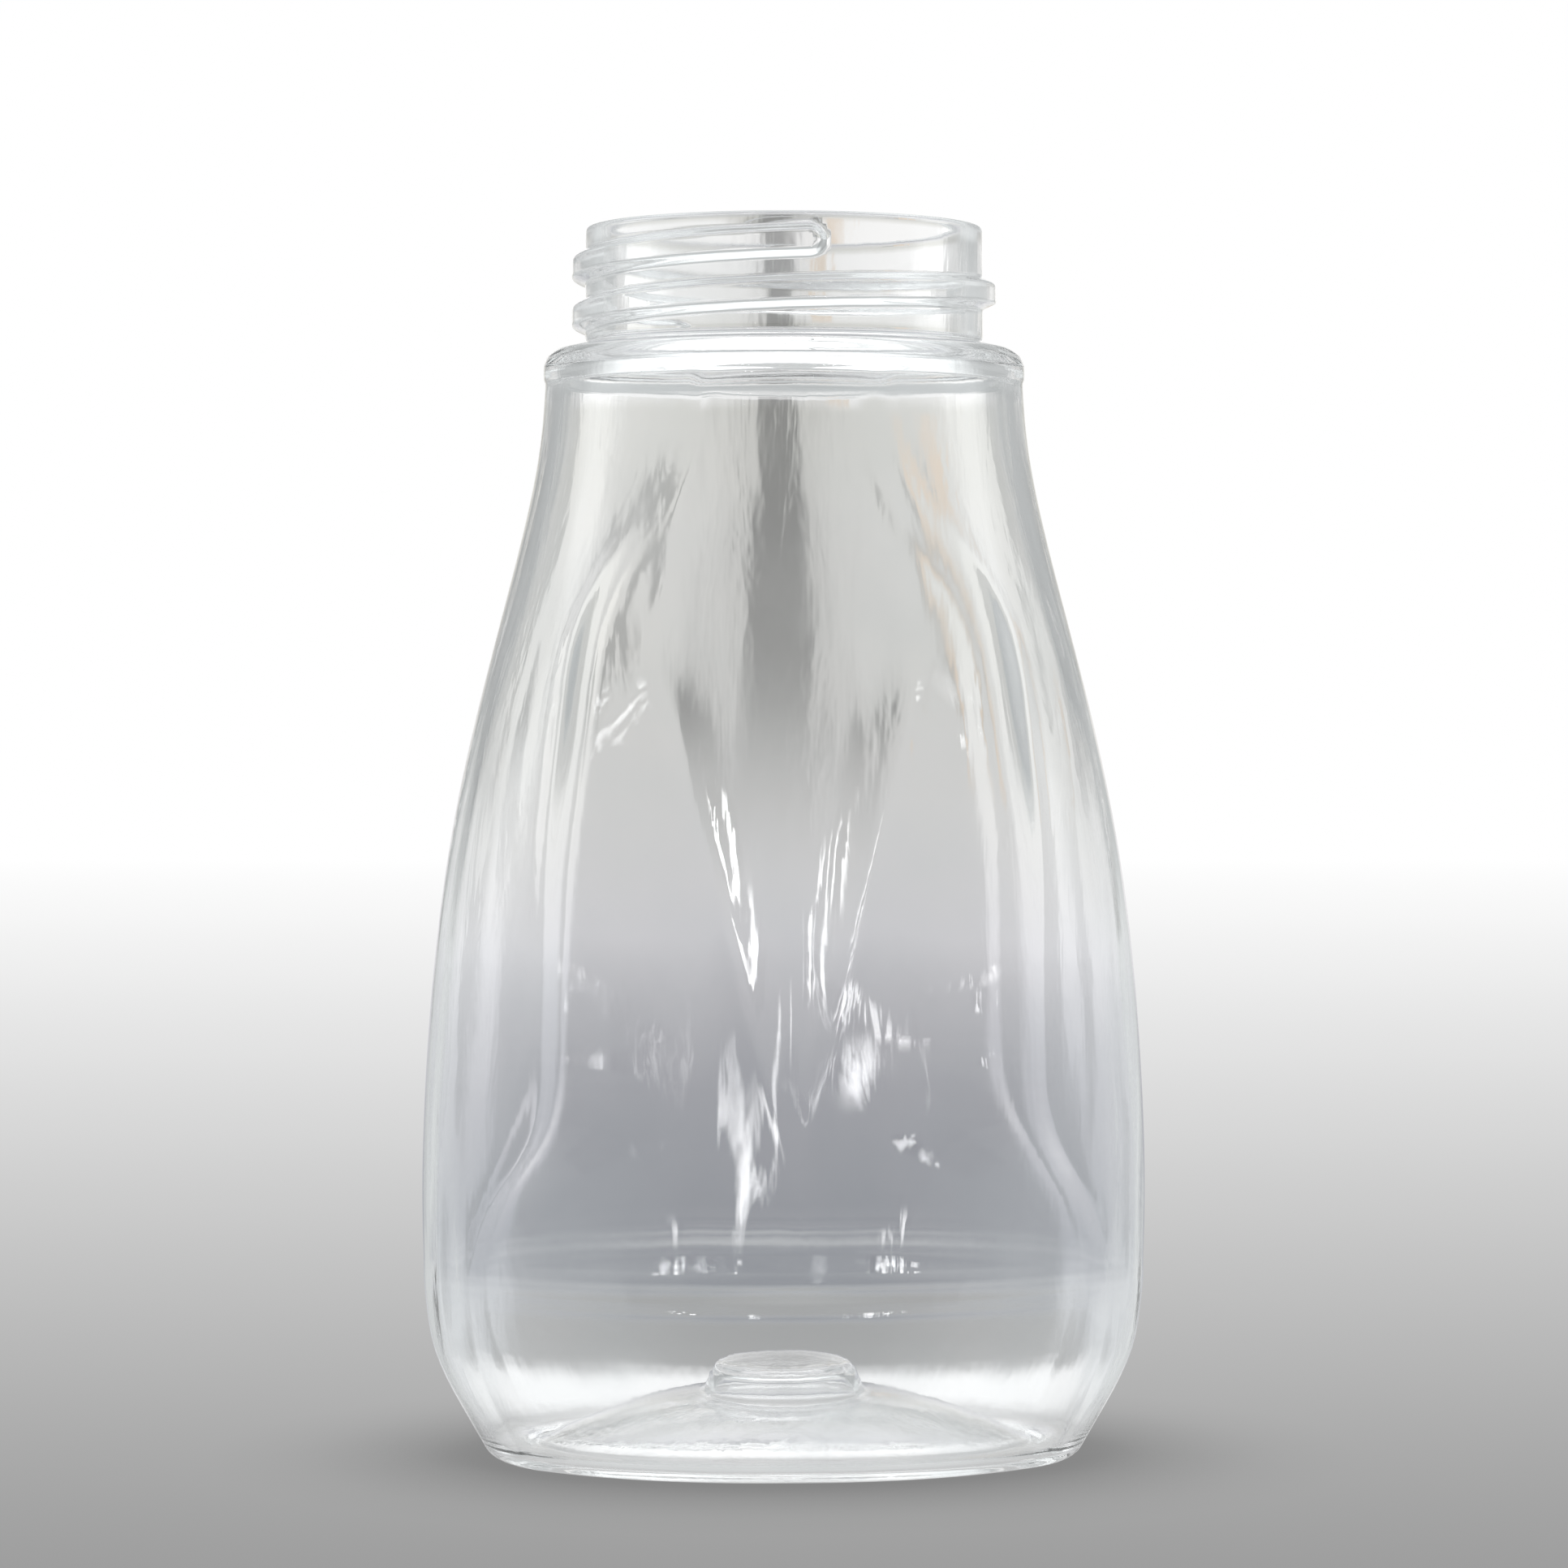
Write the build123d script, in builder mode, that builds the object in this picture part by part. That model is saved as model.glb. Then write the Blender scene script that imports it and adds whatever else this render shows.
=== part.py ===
from build123d import *

import os
from math import atan2, degrees, sqrt

# Clear oval squeeze bottle, one blown shell with a threaded neck. Millimetres, +Z up.
# The origin is at the middle of the foot, on the plane that the bottle stands on.
# The broad front faces -Y, the narrow sides face +X and -X, and front and back are alike.

# Body
overall_height = 107.7
body_width = 63.7
body_depth = 44.0
foot_width = 51.8
foot_depth = 36.2
foot_round = 1.6

# Label panel, front and back, with a small ledge under it
ledge_height = 15.4
ledge_rise = 1.9
panel_recess = 1.2

# Shoulder
shoulder_diameter = 42.2
shoulder_drop = 3.4
shoulder_corner = 1.7
shoulder_pitch = 0.4
shoulder_step = 0.18

# Neck finish for a 38 mm cap, with one thread of a turn and a half, right-handed
neck_height = 10.2
neck_diameter = 34.9
bore_diameter = 32.0
rim_round = 0.4
neck_root_round = 0.7
thread_diameter = 37.2
thread_pitch = 4.233
thread_turns = 1.42
thread_root_width = 2.9
thread_crest_width = 1.5
thread_top_gap = 2.5
thread_top_angle = 274.5
thread_sink = 0.4

# Walls, thick near the neck and thin where the shell was blown out furthest
shoulder_wall = 1.25
upper_wall = 1.5
body_wall = 0.6
heel_wall = 0.8
base_wall = 1.0

# Base, pushed up inside the foot, with a raised button in its middle
foot_land = 1.2
push_height = 4.4
button_diameter = 13.2
button_top_diameter = 10.8
button_height = 2.6
button_round = 1.3

# How far a cut runs past the face that it opens
overrun = 2.0

body_top = overall_height - neck_height
shoulder_base = body_top - shoulder_drop
panel_bottom = ledge_height + ledge_rise
collar_diameter = shoulder_diameter - 2 * shoulder_step
thread_depth = (thread_diameter - neck_diameter) / 2

# Heights up the foot, as shares of the ledge's height, each with how far the shell has
# spread from the foot to its full size
foot_shares = [
    (0.0, 0.0),
    (0.235, 0.345),
    (0.40, 0.585),
    (0.62, 0.83),
    (0.82, 0.93),
    (1.0, 0.98),
]

# Heights from the bottom of the label panel to the shoulder, as shares. At each height:
# spread of the sides from the shoulder's size to the full width
# half-width of the centre petal, and where the crease beside the rounded side lies,
# both as shares of the body's half-width there
# how far back those two lines lie, as shares of the body's half-depth there
# how much of the panel's recess the middle of the petal and its edge take
# how far the panel swells out past a straight line, as a share of the half-depth
panel_shares = [
    (0.0, 0.990, 0.032, 0.864, 0.001, 0.445, 1.00, 1.00, 0.130),
    (0.075, 1.000, 0.032, 0.810, 0.001, 0.345, 1.00, 1.00, 0.088),
    (0.155, 0.988, 0.038, 0.705, 0.001, 0.185, 0.92, 1.00, 0.030),
    (0.25, 0.953, 0.095, 0.676, 0.002, 0.159, 0.72, 1.00, 0.018),
    (0.36, 0.885, 0.160, 0.689, 0.006, 0.157, 0.47, 1.00, 0.014),
    (0.49, 0.755, 0.245, 0.711, 0.012, 0.152, 0.23, 1.00, 0.010),
    (0.62, 0.560, 0.355, 0.726, 0.020, 0.148, 0.06, 0.95, 0.006),
    (0.75, 0.326, 0.500, 0.711, 0.070, 0.212, 0.00, 0.60, 0.004),
    (0.87, 0.120, 0.440, 0.530, 0.087, 0.148, 0.00, 0.30, 0.004),
    (0.94, 0.035, 0.395, 0.442, 0.074, 0.103, 0.00, 0.18, 0.003),
    (1.0, 0.0, 0.360, 0.400, 0.067, 0.083, 0.00, 0.10, 0.002),
]

# How far the body's depth has come from the shoulder's round to the full depth, and how
# the wall changes from the lower body to the upper, at the same heights
depth_shares = [1.0, 1.0, 1.0, 1.0, 1.0, 1.0, 1.0, 0.98, 0.66, 0.30, 0.0]
wall_shares = [0.0, 0.0, 0.0, 0.0, 0.0, 0.25, 0.65, 1.0, 1.0, 1.0, 1.0]

# Where the pushed-up base bends over, in height and from the button out to the foot
push_bend_shares = (0.72, 0.45)


def blend(low, high, share):
    """The value a share of the way from low to high."""
    return low + (high - low) * share


def outline(level, half_width, reach, petal, crease, swell, wall):
    """Draw the shell's outline at one level, moved inwards by the wall."""
    shrink_x = (half_width - wall) / half_width
    shrink_y = (reach - wall) / reach
    side = half_width * shrink_x
    front = reach * shrink_y
    x1, y1 = petal[0] * shrink_x, petal[1] * shrink_y
    x2, y2 = crease[0] * shrink_x, crease[1] * shrink_y
    middle_x = (x1 + x2) / 2
    middle_y = (y1 + y2) / 2 + swell * shrink_y
    with BuildSketch(Plane.XY.offset(level)) as sketch:
        with BuildLine():
            for facing in (-1, 1):
                ThreePointArc((-x1, facing * y1), (0, facing * front), (x1, facing * y1))
                for hand in (-1, 1):
                    ThreePointArc(
                        (hand * x1, facing * y1),
                        (hand * middle_x, facing * middle_y),
                        (hand * x2, facing * y2),
                    )
            for hand in (-1, 1):
                ThreePointArc((hand * x2, -y2), (hand * side, 0), (hand * x2, y2))
        make_face()
    return sketch.sketch


def foot_outline(spread, wall, level):
    """An even oval between the foot's size and the full size of the body."""
    first = panel_shares[0]
    half_width = blend(foot_width, body_width, spread) / 2
    half_depth = blend(foot_depth, body_depth, spread) / 2
    petal = (first[2] * half_width, (1 - first[4]) * half_depth)
    crease = (first[3] * half_width, (1 - first[5]) * half_depth)
    return outline(level, half_width, half_depth, petal, crease, first[8] * half_depth, wall)


def panel_outline(row, depth_share, wall):
    """The body's outline at one of the heights beside the label panel."""
    height, spread, petal_x, crease_x, petal_back, crease_back, sink, edge_sink, swell = row
    half_width = blend(collar_diameter, body_width, spread) / 2
    half_depth = blend(collar_diameter, body_depth, depth_share) / 2
    reach = half_depth - panel_recess * sink
    petal = (petal_x * half_width, (1 - petal_back) * half_depth - panel_recess * edge_sink)
    crease = (crease_x * half_width, (1 - crease_back) * half_depth)
    level = blend(panel_bottom, shoulder_base, height)
    return outline(level, half_width, reach, petal, crease, swell * half_depth, wall)


def body_form(inside):
    """The body from the foot to the shoulder, as a solid, or the hollow inside it."""
    floor = base_wall if inside else 0
    with BuildPart() as foot:
        for height_share, spread in foot_shares:
            wall = blend(heel_wall, body_wall, height_share) if inside else 0
            add(foot_outline(spread, wall, max(ledge_height * height_share, floor)))
        loft()
        fillet(foot.edges().group_by(Axis.Z)[0], foot_round)
    lower_wall = body_wall if inside else 0
    with BuildPart() as ledge:
        add(foot_outline(foot_shares[-1][1], lower_wall, ledge_height))
        add(panel_outline(panel_shares[0], depth_shares[0], lower_wall))
        loft(ruled=True)
    with BuildPart() as upper:
        for row, depth_share, wall_share in zip(panel_shares, depth_shares, wall_shares):
            wall = blend(body_wall, upper_wall, wall_share) if inside else 0
            add(panel_outline(row, depth_share, wall))
        loft()
    return foot.part, ledge.part, upper.part


def neck_form():
    """The solid shoulder and neck, from the shoulder's base to the rim."""
    outer = shoulder_diameter / 2
    neck = neck_diameter / 2
    corner_level = body_top - shoulder_pitch
    turn = shoulder_corner * (1 - sqrt(1 / 2))
    with BuildPart() as form:
        with BuildSketch(Plane.XZ):
            with BuildLine():
                Polyline((0, corner_level), (0, shoulder_base), (outer, shoulder_base))
                Line((outer, shoulder_base), (outer, corner_level - shoulder_corner))
                ThreePointArc(
                    (outer, corner_level - shoulder_corner),
                    (outer - turn, corner_level - turn),
                    (outer - shoulder_corner, corner_level),
                )
                Polyline((outer - shoulder_corner, corner_level), (neck, body_top), (0, body_top))
                Line((0, body_top), (0, corner_level))
            make_face()
        revolve(axis=Axis.Z)
        with BuildSketch(Plane.XY.offset(corner_level)):
            Circle(neck)
        extrude(amount=neck_height + shoulder_pitch)
        fillet(form.edges().filter_by(GeomType.CIRCLE).sort_by(Axis.Z)[-1], rim_round)
        root = form.edges().filter_by(GeomType.CIRCLE).filter_by_position(
            Axis.Z, body_top - rim_round, body_top + rim_round
        )
        fillet(root.sort_by(SortBy.RADIUS)[0], neck_root_round)
    return form.part


def thread_section(helix, end, lower):
    """The thread's section at one end of its run, from lower times its half-widths upwards."""
    crest = thread_crest_width / 2
    flank = (thread_root_width / 2 - crest) / thread_depth
    buried = crest + flank * (thread_depth + thread_sink)
    spot = helix @ end
    with BuildSketch(Plane(spot, x_dir=(spot.X, spot.Y, 0), z_dir=helix % end)) as section:
        with BuildLine():
            Polyline(
                (-thread_sink, lower * buried),
                (thread_depth, lower * crest),
                (thread_depth, crest),
                (-thread_sink, buried),
                close=True,
            )
        make_face()
    return section.sketch


def thread_form():
    """The neck's thread, swept along its helix, with a rounded end at each end of the run."""
    rise = thread_pitch * thread_turns
    start = overall_height - thread_top_gap - rise
    with BuildPart() as form:
        with BuildLine() as run:
            Helix(thread_pitch, rise, neck_diameter / 2, center=(0, 0, start))
        helix = run.line
        add(thread_section(helix, 0, -1))
        sweep(path=helix, is_frenet=True)
        for end, side in ((0, -1), (1, 1)):
            spot = helix @ end
            add(thread_section(helix, end, 0))
            revolve(axis=Axis(spot, (side * spot.X, side * spot.Y, 0)), revolution_arc=180)
    return form.part


def bore_form():
    """The hollow under the shoulder and through the neck, from the shoulder's base upwards."""
    hollow = collar_diameter / 2 - upper_wall - shoulder_step
    bore = bore_diameter / 2
    ceiling = body_top - shoulder_wall
    with BuildPart() as form:
        with BuildSketch(Plane.XZ):
            with BuildLine():
                Polyline((bore, ceiling), (0, ceiling), (0, shoulder_base), (hollow, shoulder_base))
                Spline(
                    (hollow, shoulder_base),
                    (bore, ceiling),
                    tangents=[(0, 1), (-1, 0)],
                )
            make_face()
        revolve(axis=Axis.Z)
        with BuildSketch(Plane.XY.offset(shoulder_base)):
            Circle(bore)
        extrude(amount=overall_height - shoulder_base + overrun)
    return form.part


def push_form(grow):
    """The space under the pushed-up base, grown by the base's wall to shape its inside."""
    mouth_x = foot_width / 2 - foot_round - foot_land + grow / 2
    mouth_y = foot_depth / 2 - foot_round - foot_land + grow / 2
    crown = (button_diameter + grow) / 2
    crown_level = push_height + grow
    bend_height, bend_spread = push_bend_shares
    taper = degrees(atan2((button_diameter - button_top_diameter) / 2, button_height))
    with BuildPart() as form:
        with BuildSketch():
            Ellipse(mouth_x, mouth_y)
        with BuildSketch(Plane.XY.offset(crown_level * bend_height)):
            Ellipse(blend(crown, mouth_x, bend_spread), blend(crown, mouth_y, bend_spread))
        with BuildSketch(Plane.XY.offset(crown_level)):
            Circle(crown)
        loft()
        with BuildSketch(Plane.XY.offset(crown_level)):
            Circle(crown)
        extrude(amount=button_height, taper=taper)
        fillet(form.edges().sort_by(Axis.Z)[-1], button_round)
    return form.part


os.makedirs("parts", exist_ok=True)

with BuildPart() as hollow:
    add(body_form(True))
    add(bore_form())
    add(push_form(base_wall), mode=Mode.SUBTRACT)

with BuildPart() as bottle:
    add(body_form(False))
    add(neck_form())
    add(thread_form(), rotation=(0, 0, thread_top_angle - 360 * thread_turns))
    add(hollow.part, mode=Mode.SUBTRACT)
    add(push_form(0), mode=Mode.SUBTRACT)
    rim_edges = bottle.edges().filter_by(GeomType.CIRCLE).group_by(Axis.Z)[-1]
    fillet(rim_edges.sort_by(SortBy.RADIUS)[0], rim_round)

bottle.part.label = "bottle"
export_step(bottle.part, "parts/bottle.step")
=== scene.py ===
import math

import bpy
import numpy as np
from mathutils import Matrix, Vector


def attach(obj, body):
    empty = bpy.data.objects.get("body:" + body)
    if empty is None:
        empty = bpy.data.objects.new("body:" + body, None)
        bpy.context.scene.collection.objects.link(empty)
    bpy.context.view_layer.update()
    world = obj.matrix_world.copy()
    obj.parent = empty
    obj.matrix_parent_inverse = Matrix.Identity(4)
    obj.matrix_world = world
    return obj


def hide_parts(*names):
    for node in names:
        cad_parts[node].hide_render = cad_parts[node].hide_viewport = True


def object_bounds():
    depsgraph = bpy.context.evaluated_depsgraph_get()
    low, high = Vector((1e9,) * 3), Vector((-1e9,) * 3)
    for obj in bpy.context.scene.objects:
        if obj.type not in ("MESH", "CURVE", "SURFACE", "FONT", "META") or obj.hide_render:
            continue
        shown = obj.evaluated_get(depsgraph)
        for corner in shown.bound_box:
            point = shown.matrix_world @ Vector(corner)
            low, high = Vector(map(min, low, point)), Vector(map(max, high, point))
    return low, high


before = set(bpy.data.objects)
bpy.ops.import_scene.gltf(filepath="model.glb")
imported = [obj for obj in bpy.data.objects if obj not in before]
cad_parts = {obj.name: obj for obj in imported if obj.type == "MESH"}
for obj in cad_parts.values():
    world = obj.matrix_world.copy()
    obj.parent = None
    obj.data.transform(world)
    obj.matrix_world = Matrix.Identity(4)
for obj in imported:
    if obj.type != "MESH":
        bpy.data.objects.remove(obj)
cad_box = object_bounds()

# The bottle is worked out in millimetres, with the same values as the CAD source, and turned
# into metres when its mesh is made.
MM = 0.001

OVERALL_HEIGHT = 107.7
BODY_WIDTH, BODY_DEPTH = 63.7, 44.0
FOOT_WIDTH, FOOT_DEPTH, FOOT_ROUND = 51.8, 36.2, 1.6
LEDGE_HEIGHT, LEDGE_RISE, PANEL_RECESS = 15.4, 1.9, 1.2
SHOULDER_RADIUS, SHOULDER_DROP, SHOULDER_CORNER = 21.1, 3.4, 1.7
SHOULDER_PITCH, SHOULDER_STEP = 0.4, 0.18
NECK_HEIGHT, NECK_RADIUS, BORE_RADIUS = 10.2, 17.45, 16.0
RIM_ROUND = 0.4
THREAD_DEPTH, THREAD_PITCH, THREAD_TURNS = 1.15, 4.233, 1.42
THREAD_ROOT, THREAD_CREST = 2.9, 1.5
THREAD_TOP_GAP, THREAD_TOP_ANGLE = 2.5, 274.5
SHOULDER_WALL, UPPER_WALL, BODY_WALL, HEEL_WALL, BASE_WALL = 1.25, 1.5, 0.6, 0.8, 1.0
FOOT_LAND, PUSH_HEIGHT = 1.2, 4.4
BUTTON_RADIUS, BUTTON_TOP_RADIUS, BUTTON_HEIGHT = 6.6, 5.4, 2.6

BODY_TOP = OVERALL_HEIGHT - NECK_HEIGHT
COLLAR_LEVEL = BODY_TOP - SHOULDER_DROP
COLLAR_RADIUS = SHOULDER_RADIUS - SHOULDER_STEP
PANEL_BOTTOM = LEDGE_HEIGHT + LEDGE_RISE

# The CAD source's tables: share of the ledge's height and spread from the foot's size, and
# then the outlines beside the label panel, from its bottom to the shoulder.
FOOT_SHARES = [(0.0, 0.0), (0.235, 0.345), (0.40, 0.585), (0.62, 0.83), (0.82, 0.93), (1.0, 0.98)]
PANEL_SHARES = [
    (0.0, 0.990, 0.032, 0.864, 0.001, 0.445, 1.00, 1.00, 0.130),
    (0.075, 1.000, 0.032, 0.810, 0.001, 0.345, 1.00, 1.00, 0.088),
    (0.155, 0.988, 0.038, 0.705, 0.001, 0.185, 0.92, 1.00, 0.030),
    (0.25, 0.953, 0.095, 0.676, 0.002, 0.159, 0.72, 1.00, 0.018),
    (0.36, 0.885, 0.160, 0.689, 0.006, 0.157, 0.47, 1.00, 0.014),
    (0.49, 0.755, 0.245, 0.711, 0.012, 0.152, 0.23, 1.00, 0.010),
    (0.62, 0.560, 0.355, 0.726, 0.020, 0.148, 0.06, 0.95, 0.006),
    (0.75, 0.326, 0.500, 0.711, 0.070, 0.212, 0.00, 0.60, 0.004),
    (0.87, 0.120, 0.440, 0.530, 0.087, 0.148, 0.00, 0.30, 0.004),
    (0.94, 0.035, 0.395, 0.442, 0.074, 0.103, 0.00, 0.18, 0.003),
    (1.0, 0.0, 0.360, 0.400, 0.067, 0.083, 0.00, 0.10, 0.002),
]
# How round the centre petal is across at the same heights: 2 is an arc, and less is more of a
# ridge. Then how much of the body's depth, and how much of the upper wall, is there.
PETAL_BENDS = [1.6, 1.5, 1.4, 1.35, 1.4, 1.5, 1.7, 2.0, 2.0, 2.0, 2.0]
DEPTH_SHARES = [1.0, 1.0, 1.0, 1.0, 1.0, 1.0, 1.0, 0.98, 0.66, 0.30, 0.0]
WALL_SHARES = [0.0, 0.0, 0.0, 0.0, 0.0, 0.25, 0.65, 1.0, 1.0, 1.0, 1.0]
PUSH_BEND_HEIGHT, PUSH_BEND_SPREAD = 0.72, 0.45

# Roundings that only the scene has, as the reach of a blur: of the upright creases and the
# ledge, outside and inside, and of the edges of base and shoulder, of the mouth and the heel
CREASE_ROUND, CREASE_ROUND_INSIDE = 0.45, 1.5
LEDGE_ROUND, LEDGE_ROUND_INSIDE = 0.35, 0.6
LEDGE_NEAR = 6.0    # how far from the ledge its rounding fades out
EDGE_ROUND, MOUTH_ROUND, HEEL_ROUND_INSIDE = 0.3, 0.35, 0.4
SHOULDER_RUN = 1.2  # height of the neck's foot that is rounded with the shoulder
SLOPE_RUN = 1.2     # height over which the wall's slope is read above the foot's round
HEEL_RUN = 3.0      # height over which the foot's round passes into the wall

# Low waves in the blown wall, the level where they set in, and over how much height they come
# in above the foot and go out under the shoulder
INNER_WAVES = {"number": 12, "most": 44, "tall": 6, "height": 0.11, "seed": 4}
OUTER_WAVES = {"number": 7, "most": 24, "tall": 4, "height": 0.02, "seed": 9}
INNER_WAVES_FROM, OUTER_WAVES_FROM = 6.0, 4.0
WAVES_RISE, WAVES_FALL = 8.0, 10.0
# the wall gets thicker between these levels, and the inner waves go down to this share there
THICKER_FROM, THICKER_TO, THICK_WALL_WAVES = 62.0, 82.0, 0.3
OUTER_INSET = 0.03  # keeps the outer waves inside the CAD's surface

# Mesh: columns in each quarter of the outline (side, panel, petal), rows in all
SIDE_COLUMNS, PANEL_COLUMNS, PETAL_COLUMNS = 28, 25, 23
QUARTER = SIDE_COLUMNS + PANEL_COLUMNS + PETAL_COLUMNS
COLUMNS = 4 * QUARTER
ROWS = 322
# how strongly the columns crowd where the three arcs meet
SIDE_CROWDING, PANEL_CROWDING, PETAL_CROWDING = 1.25, 0.4, 1.2
STEP = 0.1          # spacing of the fine rows that the mesh's rows are picked from
ARC_POINTS = 160    # fine points on each arc of an outline
RING_POINTS = 2048  # fine points round an outline when its creases are rounded
EVEN_FROM, EVEN_TO = 80, 92  # levels between which the columns leave the creases
# what takes up the mesh's rows: length, mean bend, sharpest bend, and length again on the neck
LENGTH_COST, BEND_COST, SHARPEST_COST, NECK_COST = 0.32, 1.5, 0.25, 0.35


def blend(low, high, share):
    return low + (high - low) * share


def ease(share):
    share = np.clip(share, 0.0, 1.0)
    return share * share * (3.0 - 2.0 * share)


def spline(knots, values, at):
    """Natural cubic spline through values (one row per knot), read at each place in at."""
    knots, values, at = np.asarray(knots, float), np.asarray(values, float), np.asarray(at, float)
    flat = values.reshape(len(knots), -1)
    gap = np.diff(knots)
    slope = np.diff(flat, axis=0) / gap[:, None]
    system = np.eye(len(knots))
    right = np.zeros_like(flat)
    for i in range(1, len(knots) - 1):
        before, after = gap[i - 1], gap[i]
        system[i, i - 1], system[i, i], system[i, i + 1] = before, 2 * (before + after), after
        right[i] = 6 * (slope[i] - slope[i - 1])
    bend = np.linalg.solve(system, right)
    seg = np.clip(np.searchsorted(knots, at) - 1, 0, len(gap) - 1)
    width = gap[seg][:, None]
    b = (at - knots[seg])[:, None] / width
    a = 1 - b
    found = a * flat[seg] + b * flat[seg + 1]
    found += ((a**3 - a) * bend[seg] + (b**3 - b) * bend[seg + 1]) * width**2 / 6
    return found.reshape((len(at),) + values.shape[1:])


def circle_arc(first, middle, last, share):
    """Points on the circle arc from first through middle to last, or on the straight line
    where the three lie on one."""
    (ax, ay), (bx, by), (cx, cy) = first, middle, last
    turn = 2 * (ax * (by - cy) + bx * (cy - ay) + cx * (ay - by))
    if abs(turn) < 1e-7:
        return np.stack([blend(ax, cx, share), blend(ay, cy, share)], -1)
    aa, bb, cc = ax * ax + ay * ay, bx * bx + by * by, cx * cx + cy * cy
    ux = (aa * (by - cy) + bb * (cy - ay) + cc * (ay - by)) / turn
    uy = (aa * (cx - bx) + bb * (ax - cx) + cc * (bx - ax)) / turn
    radius = math.hypot(ax - ux, ay - uy)
    start = math.atan2(ay - uy, ax - ux)
    half = math.atan2(by - uy, bx - ux) - start
    full = math.atan2(cy - uy, cx - ux) - start
    half = (half + math.pi) % (2 * math.pi) - math.pi
    full = (full + math.pi) % (2 * math.pi) - math.pi
    if half * full < 0:
        full += math.copysign(2 * math.pi, half)
    angle = start + full * share
    return np.stack([ux + radius * np.cos(angle), uy + radius * np.sin(angle)], -1)


def quarter_outline(half_width, reach, petal, crease, swell, wall, bend=2.0):
    """A quarter of the shell's outline, from its side to the middle of its broad face. reach is
    the depth at that middle, petal and crease are the points where the panel meets the petal
    and the side, swell is how far the panel bulges, and wall is how far inside it all lies."""
    shrink = np.array([(half_width - wall) / half_width, (reach - wall) / reach])
    petal, crease = np.array(petal) * shrink, np.array(crease) * shrink
    side, front = half_width * shrink[0], reach * shrink[1]
    middle = (petal + crease) / 2 + (0, swell * shrink[1])
    share = np.arange(ARC_POINTS) / ARC_POINTS
    around = circle_arc((crease[0], -crease[1]), (side, 0), crease, 0.5 + share / 2)
    panel = circle_arc(crease, middle, petal, share)
    inwards = 1 - np.append(share, 1.0)
    sag = (front - petal[1]) * inwards**bend
    top = np.stack([petal[0] * inwards, front - sag], -1)
    return np.concatenate([around, panel, top])


def foot_quarter(spread, wall):
    """The outline below the ledge, which has the panel's lowest outline in a smaller size."""
    first = PANEL_SHARES[0]
    half_width = blend(FOOT_WIDTH, BODY_WIDTH, spread) / 2
    half_depth = blend(FOOT_DEPTH, BODY_DEPTH, spread) / 2
    petal = (first[2] * half_width, (1 - first[4]) * half_depth)
    crease = (first[3] * half_width, (1 - first[5]) * half_depth)
    return quarter_outline(half_width, half_depth, petal, crease, first[8] * half_depth, wall)


def panel_quarter(row, depth_share, wall, bend):
    """The outline above the ledge, from a row of PANEL_SHARES."""
    _, spread, petal_x, crease_x, petal_back, crease_back, sink, edge_sink, swell = row
    half_width = blend(2 * COLLAR_RADIUS, BODY_WIDTH, spread) / 2
    half_depth = blend(2 * COLLAR_RADIUS, BODY_DEPTH, depth_share) / 2
    petal = (petal_x * half_width, (1 - petal_back) * half_depth - PANEL_RECESS * edge_sink)
    crease = (crease_x * half_width, (1 - crease_back) * half_depth)
    reach = half_depth - PANEL_RECESS * sink
    return quarter_outline(half_width, reach, petal, crease, swell * half_depth, wall, bend)


def column_shares():
    """Where each column lies on a quarter outline, as a share of its three arcs in turn. The
    columns stand closer where the arcs meet."""
    side = 1 - (1 - np.arange(SIDE_COLUMNS) / SIDE_COLUMNS) ** SIDE_CROWDING
    panel = np.arange(PANEL_COLUMNS) / PANEL_COLUMNS
    panel = panel - PANEL_CROWDING * np.sin(2 * np.pi * panel) / (2 * np.pi)
    petal = (np.arange(PETAL_COLUMNS + 1) / PETAL_COLUMNS) ** PETAL_CROWDING
    return np.concatenate([side, 1 + panel, 2 + petal])


def rounded_ring(quarter, crease_round, even):
    """The whole outline at every column, with its creases rounded. even goes from columns that
    follow the creases, at 0, to evenly spaced ones, at 1."""
    mirror = quarter[-2::-1]
    half = np.concatenate([quarter, mirror * (-1, 1)])
    ring = np.concatenate([half, half[-2:0:-1] * (1, -1)])
    closed = np.concatenate([ring, ring[:1]])
    length = np.concatenate([[0.0], np.cumsum(np.hypot(*np.diff(closed, axis=0).T))])
    total = length[-1]
    fine = np.arange(RING_POINTS) * total / RING_POINTS
    points = np.stack([np.interp(fine, length, closed[:, i]) for i in (0, 1)], -1)
    # a Gaussian blur along the outline, done on its frequencies
    frequencies = np.fft.rfftfreq(RING_POINTS, total / RING_POINTS)
    soften = np.exp(-2 * (np.pi * frequencies * crease_round) ** 2)[:, None]
    points = np.fft.irfft(np.fft.rfft(points, axis=0) * soften, RING_POINTS, axis=0)
    place = column_shares() * ARC_POINTS
    place = np.interp(place, np.arange(len(quarter)), length[: len(quarter)])
    place = blend(place, total / 4 * np.arange(QUARTER + 1) / QUARTER, even)
    half_places = np.concatenate([place, total / 2 - place[-2::-1]])
    places = np.concatenate([half_places, total - half_places[-2:0:-1]])
    wrapped = np.concatenate([points, points[:1]])
    fine = np.append(fine, total)
    return np.stack([np.interp(places, fine, wrapped[:, i]) for i in (0, 1)], -1)


def soften_rows(rows, reach):
    """Gaussian blur from row to row over reach, in millimetres, with the end rows held."""
    sigma = reach / STEP
    most = int(math.ceil(3 * sigma))
    weights = np.exp(-0.5 * (np.arange(-most, most + 1) / sigma) ** 2)
    weights /= weights.sum()
    padded = np.concatenate([rows[:1]] * most + [rows] + [rows[-1:]] * most)
    out = np.zeros_like(rows)
    for i, weight in enumerate(weights):
        out += weight * padded[i : i + len(rows)]
    return out


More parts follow.
